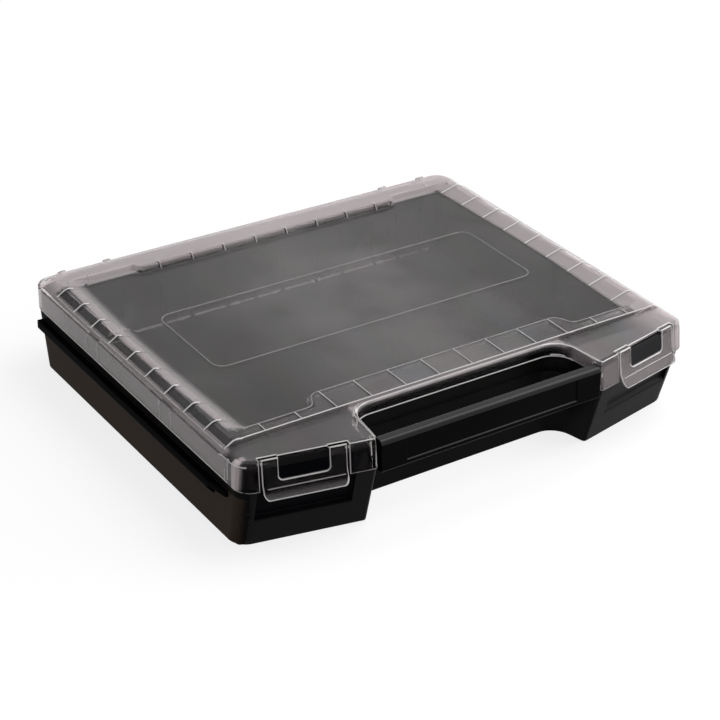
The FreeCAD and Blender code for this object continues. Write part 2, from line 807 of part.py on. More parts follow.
def make_side_runner():
    profile = [Vector(tray_half_at(runner_foot), runner_front, runner_foot),
               Vector(runner_reach, runner_front, runner_edge),
               Vector(runner_reach, runner_front, runner_top),
               Vector(tray_half_at(runner_top), runner_front, runner_top)]
    face = Part.Face(Part.makePolygon(profile + [profile[0]]))
    rail = face.extrude(Vector(0, runner_back - runner_front, 0))
    wires = []
    for z in (runner_nose_bottom, runner_top):
        wall = tray_half_at(z)
        points = [Vector(wall, runner_front, z), Vector(runner_reach, runner_front, z),
                  Vector(runner_reach - runner_nose_taper, runner_nose_front, z),
                  Vector(wall, runner_nose_front, z)]
        wires.append(Part.makePolygon(points + [points[0]]))
    return rail.fuse(loft(wires)).removeSplitter()


def write_part(name, shape):
    shape.exportStep(os.path.join("parts", name + ".step"))
    volumes = [round(solid.Volume / 1000.0, 2) for solid in shape.Solids]
    print(name, "valid", shape.isValid(), "solids", len(shape.Solids), "volume cm3", volumes)


def main():
    os.makedirs("parts", exist_ok=True)
    write_part("base_tray", make_base_tray())
    write_part("lid", make_lid())
    write_part("handle_bar", make_handle_bar())
    sided = (("latch_flap", make_latch_flap()), ("latch_pins", make_latch_pins()),
             ("hinge_pin", make_hinge_pin()), ("side_runner", make_side_runner()))
    for name, shape in sided:
        write_part(name + "_right", shape)
        write_part(name + "_left", left_of(shape))


main()
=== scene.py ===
import bmesh
import bpy
import json
import math
from mathutils import Euler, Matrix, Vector


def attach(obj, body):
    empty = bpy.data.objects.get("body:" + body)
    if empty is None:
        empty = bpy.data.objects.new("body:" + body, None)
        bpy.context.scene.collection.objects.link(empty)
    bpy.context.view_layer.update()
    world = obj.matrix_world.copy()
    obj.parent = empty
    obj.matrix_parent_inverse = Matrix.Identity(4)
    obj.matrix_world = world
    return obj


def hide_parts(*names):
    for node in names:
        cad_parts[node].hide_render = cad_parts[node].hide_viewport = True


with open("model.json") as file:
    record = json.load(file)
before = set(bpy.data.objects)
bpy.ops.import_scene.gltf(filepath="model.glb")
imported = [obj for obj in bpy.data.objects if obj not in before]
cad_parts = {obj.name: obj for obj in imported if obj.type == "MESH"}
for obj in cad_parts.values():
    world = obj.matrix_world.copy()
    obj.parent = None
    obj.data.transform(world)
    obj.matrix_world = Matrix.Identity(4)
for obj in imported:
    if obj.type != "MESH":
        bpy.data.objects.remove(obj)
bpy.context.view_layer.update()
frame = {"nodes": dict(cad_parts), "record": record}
print("frame loaded", sorted(frame["nodes"]))

scene = bpy.context.scene
scene.view_settings.view_transform = "Standard"

cameraSetup = {
    "place": (-0.70200, -1.02622, 0.73678),
    "turn": (60.0424, -1.3845, -33.5985),    # degrees, read from the case's own straight edges
    "lens": 100.96,
    "sensor": 36.0,
    "clip": (0.05, 50.0),
}


def makeCamera():
    data = bpy.data.cameras.new("viewCamera")
    data.lens = cameraSetup["lens"]
    data.sensor_width = cameraSetup["sensor"]
    data.clip_start, data.clip_end = cameraSetup["clip"]
    camera = bpy.data.objects.new("viewCamera", data)
    camera.location = cameraSetup["place"]
    camera.rotation_euler = Euler([math.radians(a) for a in cameraSetup["turn"]], "XYZ")
    scene.collection.objects.link(camera)
    scene.camera = camera


makeCamera()
print("camera set")


# Plan of the case in metres, seen from above: two towers with a handle bay between them

plan = {
    "half": 0.1800,
    "back": 0.1525,
    "front": -0.1570,
    "sweep": math.tan(math.radians(11.3)),    # how fast the front of a tower falls back towards the side
    "bayHalfFront": 0.0902,
    "bayHalfBack": 0.0850,
    "bayBack": -0.1150,
    "lean": 0.0033,    # how far the front skirt leans in on its way up to the terrace
}

levels = {"skirtFoot": 0.0463, "terrace": 0.0672, "panel": 0.0664, "crest": 0.0700}
straightUp = Vector((0.0, 0.0, 1.0))


def sweptFront(side):
    # y of the foot of the lid's front, at a distance from the middle of the case
    return plan["front"] + plan["sweep"] * (side - plan["bayHalfFront"])


def insidePlan(x, y):
    side = abs(x)
    if side > plan["half"] or y > plan["back"]:
        return False
    if y > plan["bayBack"]:
        return True
    share = (plan["bayBack"] - y) / (plan["bayBack"] - plan["front"])
    inner = plan["bayHalfBack"] + (plan["bayHalfFront"] - plan["bayHalfBack"]) * share
    return side > inner and y > sweptFront(side)


def frontDepth(place):
    # How far a place lies behind the foot of the lid's swept front
    return (place.y - sweptFront(abs(place.x))) * math.cos(math.atan(plan["sweep"]))


def leanAt(z):
    # How far the front skirt has leaned into the case at height z
    return plan["lean"] * (z - levels["skirtFoot"]) / (levels["terrace"] - levels["skirtFoot"])


# Node helpers shared by all the finishes

mixSockets = {"factor": 0, "first": 6, "second": 7, "result": 2}    # of a Mix node that mixes colours
noiseSpread = (0.3, 0.7)    # nearly all of a noise lies between these values
white = (1.0, 1.0, 1.0, 1.0)


def newMaterial(name):
    material = bpy.data.materials.new(name)
    material.use_nodes = True
    tree = material.node_tree
    tree.nodes.clear()
    out = tree.nodes.new("ShaderNodeOutputMaterial")
    shader = tree.nodes.new("ShaderNodeBsdfPrincipled")
    tree.links.new(shader.outputs["BSDF"], out.inputs["Surface"])
    place = tree.nodes.new("ShaderNodeTexCoord").outputs["Object"]
    return material, tree, shader, place


def axesOf(tree, place):
    node = tree.nodes.new("ShaderNodeSeparateXYZ")
    tree.links.new(place, node.inputs["Vector"])
    return node.outputs["X"], node.outputs["Y"], node.outputs["Z"]


def noiseOf(tree, place, size, detail=2.0):
    node = tree.nodes.new("ShaderNodeTexNoise")
    node.inputs["Scale"].default_value = 1.0 / size     # size of one blotch in metres
    node.inputs["Detail"].default_value = detail
    tree.links.new(place, node.inputs["Vector"])
    return node.outputs["Fac"]


def rangeOf(tree, value, limits, low, high, soft=False):
    node = tree.nodes.new("ShaderNodeMapRange")
    node.interpolation_type = "SMOOTHSTEP" if soft else "LINEAR"
    node.inputs["From Min"].default_value, node.inputs["From Max"].default_value = limits
    node.inputs["To Min"].default_value = low
    node.inputs["To Max"].default_value = high
    tree.links.new(value, node.inputs["Value"])
    return node.outputs["Result"]


def softStep(tree, value, limits, low=0.0, high=1.0):
    return rangeOf(tree, value, limits, low, high, True)


def spreadOf(tree, noise, low, high):
    return rangeOf(tree, noise, noiseSpread, low, high)


def mathOf(tree, kind, a, b=None):
    node = tree.nodes.new("ShaderNodeMath")
    node.operation = kind
    for socket, value in zip(node.inputs, (a, b)):
        if value is None:
            continue
        if isinstance(value, (int, float)):
            socket.default_value = value
        else:
            tree.links.new(value, socket)
    return node.outputs["Value"]


def productOf(tree, *values):
    result = values[0]
    for value in values[1:]:
        result = mathOf(tree, "MULTIPLY", result, value)
    return result


def mixColours(tree, factor, first, second):
    node = tree.nodes.new("ShaderNodeMix")
    node.data_type = "RGBA"
    tree.links.new(factor, node.inputs[mixSockets["factor"]])
    for key, value in (("first", first), ("second", second)):
        socket = node.inputs[mixSockets[key]]
        if isinstance(value, tuple):
            socket.default_value = (*value, 1.0)
        else:
            tree.links.new(value, socket)
    return node.outputs[mixSockets["result"]]


def bumpOf(tree, height, distance, strength):
    node = tree.nodes.new("ShaderNodeBump")
    node.inputs["Distance"].default_value = distance
    node.inputs["Strength"].default_value = strength
    tree.links.new(height, node.inputs["Height"])
    return node.outputs["Normal"]


def seenRays(tree):
    # 1 for the eye, for mirrors and for clear pieces, 0 for the light that falls on the case
    path = tree.nodes.new("ShaderNodeLightPath")
    seen = mathOf(tree, "MAXIMUM", path.outputs["Is Camera Ray"], path.outputs["Is Glossy Ray"])
    return mathOf(tree, "MAXIMUM", seen, path.outputs["Is Transmission Ray"])


# Black mouldings: a fine grain with slow clouds of tone, and a side tone on low outer walls, which on the
# left wall is painted warm light

blackFinish = {
    "grain": 0.0007,
    "grainDetail": 1.0,
    "grainHeight": 0.00003,
    "grainStrength": 0.35,
    "cloud": 0.055,
    "cloudDetail": 3.0,
    "cloudSpread": (0.35, 0.65),
    "sideways": (0.55, 0.95),      # how far a face has to turn to the side to take the side tone
    "outerX": (0.1600, 0.1680),    # only low outer walls take it
    "outerZ": (0.0405, 0.0395),
}

blackTones = {
    "trayBlack": {
        "dark": (0.0045, 0.0043, 0.0042), "light": (0.0065, 0.0062, 0.0060),
        "side": (0.0050, 0.0048, 0.0047), "rough": (0.36, 0.46), "gloss": 0.036,
    },
    # A lighter copy of the tray's black: painted light on the right nose, recess and ledge
    "paintedLitBlack": {
        "dark": (0.0210, 0.0196, 0.0214), "light": (0.0250, 0.0232, 0.0254),
        "side": (0.0140, 0.0130, 0.0130), "rough": (0.36, 0.46), "gloss": 0.036,
    },
    # Painted warm light: a brown side tone for the low outer wall on the left
    "paintedWarmLightBlack": {
        "dark": (0.0045, 0.0043, 0.0042), "light": (0.0065, 0.0062, 0.0060),
        "side": (0.0450, 0.0328, 0.0250), "rough": (0.40, 0.50), "gloss": 0.010,
    },
    # A darker copy of the tray's black: painted shade on the left nose and recess
    "paintedShadeBlack": {
        "dark": (0.0012, 0.0015, 0.0024), "light": (0.0018, 0.0022, 0.0032),
        "side": (0.0016, 0.0018, 0.0026), "rough": (0.30, 0.38), "gloss": 0.012,
    },
    "barBlack": {
        "dark": (0.0018, 0.0018, 0.0024), "light": (0.0030, 0.0030, 0.0038),
        "side": (0.0024, 0.0024, 0.0030), "rough": (0.26, 0.34), "gloss": 0.020,
    },
    # A lighter copy of the bar's black for its upward faces: painted highlight
    "barTopHighlight": {
        "dark": (0.0040, 0.0036, 0.0038), "light": (0.0060, 0.0055, 0.0058),
        "side": (0.0050, 0.0046, 0.0048), "rough": (0.24, 0.32), "gloss": 0.22,
    },
    # Darker and duller than the tray's black: painted shade under the lid's skirt
    "shadedRunnerBlack": {
        "dark": (0.0008, 0.0009, 0.0012), "light": (0.0014, 0.0015, 0.0019),
        "side": (0.0011, 0.0012, 0.0016), "rough": (0.40, 0.50), "gloss": 0.004,
    },
}


def blackPlastic(name):
    tones = blackTones[name]
    material, tree, shader, place = newMaterial(name)
    x, _, z = axesOf(tree, place)
    facing = tree.nodes.new("ShaderNodeTexCoord").outputs["Normal"]
    sideways = softStep(tree, mathOf(tree, "ABSOLUTE", axesOf(tree, facing)[0]), blackFinish["sideways"])
    outside = softStep(tree, mathOf(tree, "ABSOLUTE", x), blackFinish["outerX"])
    outside = productOf(tree, outside, softStep(tree, z, blackFinish["outerZ"]))
    cloud = noiseOf(tree, place, blackFinish["cloud"], blackFinish["cloudDetail"])
    grain = noiseOf(tree, place, blackFinish["grain"], blackFinish["grainDetail"])
    colour = mixColours(tree, rangeOf(tree, cloud, blackFinish["cloudSpread"], 0.0, 1.0),
                        tones["dark"], tones["light"])
    colour = mixColours(tree, productOf(tree, sideways, outside), colour, tones["side"])
    bump = bumpOf(tree, grain, blackFinish["grainHeight"], blackFinish["grainStrength"])
    tree.links.new(colour, shader.inputs["Base Color"])
    tree.links.new(spreadOf(tree, grain, *tones["rough"]), shader.inputs["Roughness"])
    tree.links.new(bump, shader.inputs["Normal"])
    shader.inputs["Specular IOR Level"].default_value = tones["gloss"]
    return material


trayBlack = blackPlastic("trayBlack")
paintedLitBlack = blackPlastic("paintedLitBlack")
paintedWarmLightBlack = blackPlastic("paintedWarmLightBlack")
paintedShadeBlack = blackPlastic("paintedShadeBlack")
barBlack = blackPlastic("barBlack")
barTopHighlight = blackPlastic("barTopHighlight")
shadedRunnerBlack = blackPlastic("shadedRunnerBlack")

# Clear mouldings: see-through, with a pale cast that is partly haze in the plastic and partly painted light
# and painted reflection in given places

clearFinish = {
    "tint": (0.955, 0.915, 0.920),
    "rose": (0.960, 0.880, 0.900),
    "leaf": (0.930, 0.935, 0.885),
    "sky": (0.905, 0.900, 0.945),
    "bands": (1.0, 0.35, 1.0),    # the tints of the strained plastic run in bands from front to back
    "blotch": 0.030,
    "blotchGrowth": 0.15,         # each tint has larger blotches than the one before
    "blotchDetail": 1.0,
    "blotchSpread": (0.50, 0.66),
    # The pale colour of the haze and of the painted light and reflection
    "hazeSheen": (0.800, 0.735, 0.745),
    "hazeSheenShare": (0.07, 0.12),    # the tints fade out between these shares of milk
    "rough": (0.02, 0.05),
    "scuff": 0.004,
    "mirror": (1.0, 0.93, 0.945),
}

# Refractive ratio of the plastic, and the share of its mirror left when it is seen square on
clearGrades = {"top": (1.25, 0.60), "front": (1.12, 0.30), "rib": (1.02, 0.10)}


def clearShader(name, grade):
    material, tree, shader, place = newMaterial(name)
    ratio, level = clearGrades[grade]
    shader.inputs["IOR"].default_value = ratio
    shader.inputs["Specular Tint"].default_value = (*(level * share for share in clearFinish["mirror"]), 1.0)
    return material, tree, shader, place


def clearPlastic(name, grade, hazeSheenOf):
    material, tree, shader, place = clearShader(name, grade)
    hazeSheen = hazeSheenOf(tree, place)
    tree.links.new(mathOf(tree, "SUBTRACT", 1.0, hazeSheen), shader.inputs["Transmission Weight"])
    stretch = tree.nodes.new("ShaderNodeMapping")
    stretch.inputs["Scale"].default_value = clearFinish["bands"]
    tree.links.new(place, stretch.inputs["Vector"])
    tone = clearFinish["tint"]
    for step, tint in enumerate(("rose", "leaf", "sky")):
        size = clearFinish["blotch"] * (1.0 + clearFinish["blotchGrowth"] * step)
        cloud = noiseOf(tree, stretch.outputs["Vector"], size, clearFinish["blotchDetail"])
        tone = mixColours(tree, softStep(tree, cloud, clearFinish["blotchSpread"]), tone, clearFinish[tint])
    clouded = rangeOf(tree, hazeSheen, clearFinish["hazeSheenShare"], 0.0, 1.0)
    scuffs = noiseOf(tree, place, clearFinish["scuff"])
    tree.links.new(mixColours(tree, clouded, tone, clearFinish["hazeSheen"]), shader.inputs["Base Color"])
    tree.links.new(spreadOf(tree, scuffs, *clearFinish["rough"]), shader.inputs["Roughness"])
    return material


# How much haze, painted light and painted reflection the lid takes in each place, and where along x, y or z
# that place starts and is full
hazeSheenSetup = {
    "top": (0.0655, 0.0662), "frontZ": (0.0668, 0.0660), "leftX": (0.01, -0.01),
    "backBand": 0.34, "backBandY": (0.1200, 0.1230), "backSkirtY": (0.1480, 0.1500),
    # The right rim, edge, end, front and terrace take painted light; the back band, left skirt, ridge, slope
    # and front corner take painted highlights and reflections
    "rightRim": 0.32, "rightRimX": (0.1553, 0.1580), "rimFrontY": (-0.1150, -0.1120),
    "rightEdge": 0.42, "rightEdgeX": (0.1600, 0.1720),
    "rightEnd": 0.36, "rightEndX": (0.1250, 0.1790),
    "rightFront": 0.16, "rightFrontX": (0.0840, 0.0860), "rightFrontY": (-0.1240, -0.1290),
    "leftSkirt": 0.225, "leftSkirtX": (-0.1775, -0.1790), "leftSkirtZ": (0.0628, 0.0622),
    "leftSkirtY": (-0.1260, -0.1180), "backCorner": 2.5, "backCornerY": (0.0800, 0.1480),
    "leftRidge": 0.22, "ridgeX": (-0.1745, -0.1755), "ridgeEndX": (-0.1780, -0.1770),
    "ridgeY": (-0.1200, -0.1140),
    "leftSlope": 0.24, "slopeX": (0.1545, 0.1615), "slopeEndX": (0.1700, 0.1692),
    "slopeY": (-0.1040, -0.0960),
    "bow": 0.0027, "bowMiddle": 0.0145, "bowY": (0.0300, 0.1050),    # the side rims bow outwards
    "frontStrip": 0.016, "stripY": (0.0000, 0.0035), "stripEndX": (0.1620, 0.1570),
    "stripEndY": (-0.1142, -0.1138), "stripRight": 5.0, "stripRightX": (0.1000, 0.1350),
    "jogX": (0.0984, 0.1126), "jogY": (-0.0885, -0.1020),
    "frontCorner": 0.55, "cornerX": (-0.1690, -0.1740), "cornerY": (-0.1345, -0.1300),
    "cornerEndY": (-0.1262, -0.1280),
    # The film is a painted reflection veil over the raised panel, stronger in the middle
    "film": 0.030, "filmCloud": 0.045, "filmThin": 0.4, "filmMiddle": 4.8, "filmX": (0.0, 0.1200),
    "filmBack": 0.42, "filmBackY": (0.0300, 0.1150), "filmFront": 0.65, "filmFrontY": (-0.0400, -0.1000),
    "filmTerrace": 3.0, "rightTerrace": 0.085, "terraceX": (0.1000, 0.1720), "terraceY": (-0.1130, -0.1145),
    "crownWall": 0.10, "crownWallY": (-0.1126, -0.1136), "crownWallZ": (0.0674, 0.0678),
    "bayWall": 0.26, "bayWallX": (0.0880, 0.0840), "bayWallZ": (0.0642, 0.0654),
    "lip": 0.045, "lipZ": (0.0465, 0.0425), "flapX": (-0.05, 0.05), "flapCloud": 0.02, "flapFilm": 0.006,
}


def maskOf(tree, value, key, low=0.0, high=1.0):
    return softStep(tree, value, hazeSheenSetup[key], low, high)


def lidHazeSheen(tree, place):
    x, y, z = axesOf(tree, place)
    side = mathOf(tree, "ABSOLUTE", x)
    raised = maskOf(tree, z, "top")
    left = rangeOf(tree, x, hazeSheenSetup["leftX"], 0.0, 1.0)
    along = mathOf(tree, "ABSOLUTE", mathOf(tree, "SUBTRACT", y, hazeSheenSetup["bowMiddle"]))
    bowed = mathOf(tree, "ADD", side, rangeOf(tree, along, hazeSheenSetup["bowY"], 0.0, hazeSheenSetup["bow"]))
    band = productOf(tree, maskOf(tree, y, "backBandY"), raised, hazeSheenSetup["backBand"])
    skirt = productOf(tree, maskOf(tree, y, "backSkirtY"), hazeSheenSetup["backBand"])
    front = productOf(tree, maskOf(tree, y, "rightFrontY"), maskOf(tree, x, "rightFrontX"),
                      maskOf(tree, z, "frontZ"), hazeSheenSetup["rightFront"])
    wall = productOf(tree, maskOf(tree, x, "leftSkirtX"), maskOf(tree, z, "leftSkirtZ"),
                     maskOf(tree, y, "leftSkirtY"),
                     maskOf(tree, y, "backCornerY", 1.0, hazeSheenSetup["backCorner"]), hazeSheenSetup["leftSkirt"])
    ridge = productOf(tree, maskOf(tree, x, "ridgeX"), maskOf(tree, x, "ridgeEndX"),
                      maskOf(tree, y, "ridgeY"), hazeSheenSetup["leftRidge"])
    right = productOf(tree, maskOf(tree, bowed, "rightRimX"), mathOf(tree, "SUBTRACT", 1.0, left),
                      maskOf(tree, y, "rimFrontY"), hazeSheenSetup["rightRim"])
    edge = productOf(tree, maskOf(tree, x, "rightEdgeX"), maskOf(tree, y, "rimFrontY"),
                     hazeSheenSetup["rightEdge"])
    end = productOf(tree, maskOf(tree, x, "rightEndX"), hazeSheenSetup["rightEnd"], maskOf(tree, y, "terraceY"))
    slope = productOf(tree, maskOf(tree, bowed, "slopeX"), maskOf(tree, bowed, "slopeEndX"),
                      maskOf(tree, y, "slopeY"), left, raised, hazeSheenSetup["leftSlope"])
    foot = maskOf(tree, side, "jogX", *hazeSheenSetup["jogY"])
    strip = productOf(tree, maskOf(tree, mathOf(tree, "SUBTRACT", foot, y), "stripY"),
                      maskOf(tree, side, "stripEndX"), maskOf(tree, y, "stripEndY"),
                      maskOf(tree, x, "stripRightX", 1.0, hazeSheenSetup["stripRight"]),
                      raised, hazeSheenSetup["frontStrip"])
    terrace = productOf(tree, maskOf(tree, x, "terraceX"), maskOf(tree, y, "terraceY"), raised,
                        hazeSheenSetup["rightTerrace"])
    corner = productOf(tree, maskOf(tree, x, "cornerX"), maskOf(tree, y, "cornerY"),
                       maskOf(tree, y, "cornerEndY"), maskOf(tree, z, "frontZ"), hazeSheenSetup["frontCorner"])
    riser = productOf(tree, maskOf(tree, y, "crownWallY"), maskOf(tree, z, "crownWallZ"),
                      hazeSheenSetup["crownWall"])
    bay = productOf(tree, maskOf(tree, side, "bayWallX"), maskOf(tree, y, "crownWallY"),
                    maskOf(tree, z, "bayWallZ"), hazeSheenSetup["bayWall"])
    hazeSheen = band
    for part in (skirt, right, edge, end, front, wall, ridge, slope, strip, terrace, riser, bay, corner):
        hazeSheen = mathOf(tree, "MAXIMUM", hazeSheen, part)
    cloud = spreadOf(tree, noiseOf(tree, place, hazeSheenSetup["filmCloud"]), hazeSheenSetup["filmThin"], 1.0)
    glow = productOf(tree, maskOf(tree, side, "filmX", hazeSheenSetup["filmMiddle"], 1.0),
                     maskOf(tree, y, "filmBackY", 1.0, hazeSheenSetup["filmBack"]),
                     maskOf(tree, y, "filmFrontY", 1.0, hazeSheenSetup["filmFront"]),
                     maskOf(tree, y, "terraceY", 1.0, hazeSheenSetup["filmTerrace"]))
    return mathOf(tree, "ADD", hazeSheen, productOf(tree, glow, cloud, raised, hazeSheenSetup["film"]))


# The right flap takes a painted light that the left one lacks; the lip is paler towards its foot
def flapHazeSheen(tree, place):
    x, _, z = axesOf(tree, place)
    side = maskOf(tree, x, "flapX", 0.0, hazeSheenSetup["rightFront"])
    lip = maskOf(tree, z, "lipZ", 0.0, hazeSheenSetup["lip"])
    cloud = spreadOf(tree, noiseOf(tree, place, hazeSheenSetup["flapCloud"]), 0.0, hazeSheenSetup["flapFilm"])
    return mathOf(tree, "ADD", mathOf(tree, "MAXIMUM", side, lip), cloud)


lidClear = clearPlastic("lidClear", "top", lidHazeSheen)
frontClear = clearPlastic("frontClear", "front", lidHazeSheen)
flapClear = clearPlastic("flapClear", "front", flapHazeSheen)

# Painted highlights on the edges and ridges: how clear each is, and its two tones
paleTones = {
    "edgeHighlight": {"clear": 0.32, "dark": (0.80, 0.77, 0.77), "light": (0.90, 0.88, 0.88)},
    "lineHighlight": {"clear": 0.72, "dark": (0.80, 0.77, 0.77), "light": (0.90, 0.88, 0.88)},
    "lidGleam": {"clear": 0.20, "dark": (0.88, 0.86, 0.86), "light": (0.95, 0.94, 0.94)},
}
paleFinish = {"cloud": 0.012, "rough": (0.10, 0.22)}


def paintedEdgeHighlight(name):
    tones = paleTones[name]
    material, tree, shader, place = clearShader(name, "top")
    cloud = noiseOf(tree, place, paleFinish["cloud"])
    tree.links.new(mixColours(tree, cloud, tones["dark"], tones["light"]), shader.inputs["Base Color"])
    tree.links.new(spreadOf(tree, cloud, *paleFinish["rough"]), shader.inputs["Roughness"])
    shader.inputs["Transmission Weight"].default_value = tones["clear"]
    return material


edgeHighlight = paintedEdgeHighlight("edgeHighlight")
lineHighlight = paintedEdgeHighlight("lineHighlight")
lidGleam = paintedEdgeHighlight("lidGleam")

ribFinish = {"dark": (0.97, 0.96, 0.96), "light": (0.99, 0.985, 0.985), "rough": (0.0, 0.02)}


def plainClear(name):
    # The ribs lie under a skin that is just as clear, so they hardly show
    material, tree, shader, place = clearShader(name, "rib")
    cloud = noiseOf(tree, place, clearFinish["scuff"])
    colour = mixColours(tree, cloud, ribFinish["dark"], ribFinish["light"])
    tree.links.new(colour, shader.inputs["Base Color"])
    tree.links.new(spreadOf(tree, cloud, *ribFinish["rough"]), shader.inputs["Roughness"])
    shader.inputs["Transmission Weight"].default_value = 1.0
    return material


ribClear = plainClear("ribClear")

steelFinish = {
    "stretch": (0.06, 1.0, 1.0),    # drawn lines run along the pins
    "line": 0.0003,
    "lineDetail": 3.0,
    "dark": (0.42, 0.41, 0.40),
    "light": (0.60, 0.59, 0.57),
    "rough": (0.24, 0.38),
}


def brushedSteel(name):
    material, tree, shader, place = newMaterial(name)
    stretch = tree.nodes.new("ShaderNodeMapping")
    stretch.inputs["Scale"].default_value = steelFinish["stretch"]
    tree.links.new(place, stretch.inputs["Vector"])
    line = noiseOf(tree, stretch.outputs["Vector"], steelFinish["line"], steelFinish["lineDetail"])
    colour = mixColours(tree, line, steelFinish["dark"], steelFinish["light"])
    tree.links.new(colour, shader.inputs["Base Color"])
    tree.links.new(spreadOf(tree, line, *steelFinish["rough"]), shader.inputs["Roughness"])
    shader.inputs["Metallic"].default_value = 1.0
    return material


pinSteel = brushedSteel("pinSteel")
print("finishes made")


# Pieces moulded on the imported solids, with the rounded edges that the tool leaves

meshSetup = {"merge": 2e-6, "flatWeight": 50}


def solidMesh(nodeName):
    bm = bmesh.new()
    bm.from_mesh(frame["nodes"][nodeName].data)
    bmesh.ops.remove_doubles(bm, verts=bm.verts, dist=meshSetup["merge"])
    for face in bm.faces:
        face.material_index = 0
        face.smooth = True
    return bm


def roundEdges(bm, edges, setup, size="edge"):
    made = bmesh.ops.bevel(bm, geom=edges, offset=setup[size], offset_type="OFFSET", affect="EDGES",
                           segments=setup["segments"], profile=0.5, material=-1, clamp_overlap=False)
    for face in made["faces"]:
        face.smooth = True
    return made["faces"]


def placePiece(bm, pieceName, body, materials, nodeName=None):
    mesh = bpy.data.meshes.new(pieceName)
    bm.to_mesh(mesh)
    bm.free()
    for material in materials:
        mesh.materials.append(material)
    piece = bpy.data.objects.new(pieceName, mesh)
    scene.collection.objects.link(piece)
    weigh = piece.modifiers.new("flatFaces", "WEIGHTED_NORMAL")
    weigh.mode = "FACE_AREA"
    weigh.weight = meshSetup["flatWeight"]
    weigh.keep_sharp = True
    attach(piece, body)
    if nodeName:
        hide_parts(nodeName)
    print(pieceName, len(mesh.polygons), "faces")


def creases(bm, degrees):
    limit = math.radians(degrees)
    return [e for e in bm.edges if e.is_manifold and e.calc_face_angle() > limit]


def mouldedPiece(pieceName, nodeName, body, setup, materials, finishOf=None):
    bm = solidMesh(nodeName)
    roundEdges(bm, creases(bm, setup["sharp"]), setup)
    if finishOf:
        for face in bm.faces:
            face.material_index = materials.index(finishOf(face))
    placePiece(bm, pieceName, body, materials, nodeName)


trayEdges = {
    "edge": 0.0005,
    "segments": 2,
    "sharp": 25.0,
    "noseFoot": 0.0515,
    "noseDepth": 0.0026,
    "noseTilt": 0.30,
    "outerWall": -0.1600,
    "wallFacing": -0.5,
    "frontFoot": 0.0010,
    "frontLean": 0.25,
    "recessDepth": 0.0018,
    "recessFacing": -0.9,
    "ledgeDepth": 0.0060,
    "ledgeTilt": 0.5,
}


def trayFace(face):
    # Painted shade and light: on the left the nose and recess take a darker black for the flap's shade, on
    # the right a lighter black for the floor's light
    middle = face.calc_center_median()
    onRight = middle.x > 0.0
    paintedLightShadeBlack = paintedLitBlack if onRight else paintedShadeBlack
    if middle.z > trayEdges["noseFoot"] and frontDepth(middle) < leanAt(middle.z) + trayEdges["noseDepth"]:
        chamfer = face.normal.z > trayEdges["noseTilt"]
        return trayBlack if chamfer and not onRight else paintedLightShadeBlack
    # The left outer wall takes the painted warm light
    if face.normal.x < trayEdges["wallFacing"] and middle.x < trayEdges["outerWall"]:
        return paintedWarmLightBlack
    front = trayEdges["frontFoot"] + trayEdges["frontLean"] * (levels["skirtFoot"] - middle.z)
    behind = frontDepth(middle) - front
    inRecess = behind > trayEdges["recessDepth"] and face.normal.y < trayEdges["recessFacing"]
    onLedge = abs(behind) < trayEdges["ledgeDepth"] and face.normal.z > trayEdges["ledgeTilt"]
    onTower = abs(middle.x) > plan["bayHalfFront"] and middle.z < levels["skirtFoot"]
    return paintedLightShadeBlack if onTower and (inRecess or onLedge) else trayBlack


barEdges = {"edge": 0.0004, "segments": 2, "sharp": 25.0, "highlightTilt": 0.12}


def barFace(face):
    # The faces of the bar that look up take a lighter, glossier copy of its black, a painted highlight
    return barTopHighlight if face.normal.z > barEdges["highlightTilt"] else barBlack


runnerEdges = {"edge": 0.0005, "segments": 2, "sharp": 25.0}

trayBlacks = [trayBlack, paintedShadeBlack, paintedLitBlack, paintedWarmLightBlack]
mouldedPiece("trayShell", "base_tray", "tray", trayEdges, trayBlacks, trayFace)
mouldedPiece("handleBar", "handle_bar", "tray", barEdges, [barBlack, barTopHighlight], barFace)
mouldedPiece("sideRunnerLeft", "side_runner_left", "tray", runnerEdges, [shadedRunnerBlack])
mouldedPiece("sideRunnerRight", "side_runner_right", "tray", runnerEdges, [shadedRunnerBlack])

# Ribs under the lid: ten across each side rim, twelve across the front and eight across the back

ribSetup = {
    "sideCount": 10,
    "sideFirst": -0.1133,
    "sideLast": 0.1178,
    "frontCount": 12,
    "backCount": 8,
    "pitch": 0.0267,
    "half": 0.0008,
    "low": 0.0640,
    "high": 0.0690,
    "bottom": 0.0648,
    "bottomNear": 0.0001,
    "bottomFacing": -0.9,
    "sideFacing": 0.97,
    "rim": 0.1500,
    "rimEnd": 0.1780,
    "frontEnd": -0.0900,
    "backEnd": 0.1180,
}


def sideRibs():
    pitch = (ribSetup["sideLast"] - ribSetup["sideFirst"]) / (ribSetup["sideCount"] - 1)
    return [ribSetup["sideFirst"] + pitch * index for index in range(ribSetup["sideCount"])]


def endRibs(count):
    return [ribSetup["pitch"] * (index - (count - 1) / 2.0) for index in range(count)]


def ribFace(face):
    middle = face.calc_center_median()
    normal = face.normal
    if not ribSetup["low"] < middle.z < ribSetup["high"]:
        return False
    onSide = min(abs(middle.y - y) for y in sideRibs()) < ribSetup["half"]
    onSide = onSide and ribSetup["rim"] < abs(middle.x) < ribSetup["rimEnd"]
    onEnd = min(abs(middle.x - x) for x in endRibs(ribSetup["frontCount"])) < ribSetup["half"]
    onEnd = onEnd and (middle.y < ribSetup["frontEnd"] or middle.y > ribSetup["backEnd"])
    if normal.z < ribSetup["bottomFacing"]:
        return abs(middle.z - ribSetup["bottom"]) < ribSetup["bottomNear"] and (onSide or onEnd)
    facing = ribSetup["sideFacing"]
    return (onSide and abs(normal.y) > facing) or (onEnd and abs(normal.x) > facing)


# Clear pieces keep sharp inner edges. Outer edges are rounded, and the ones that catch the light take a
# painted highlight.

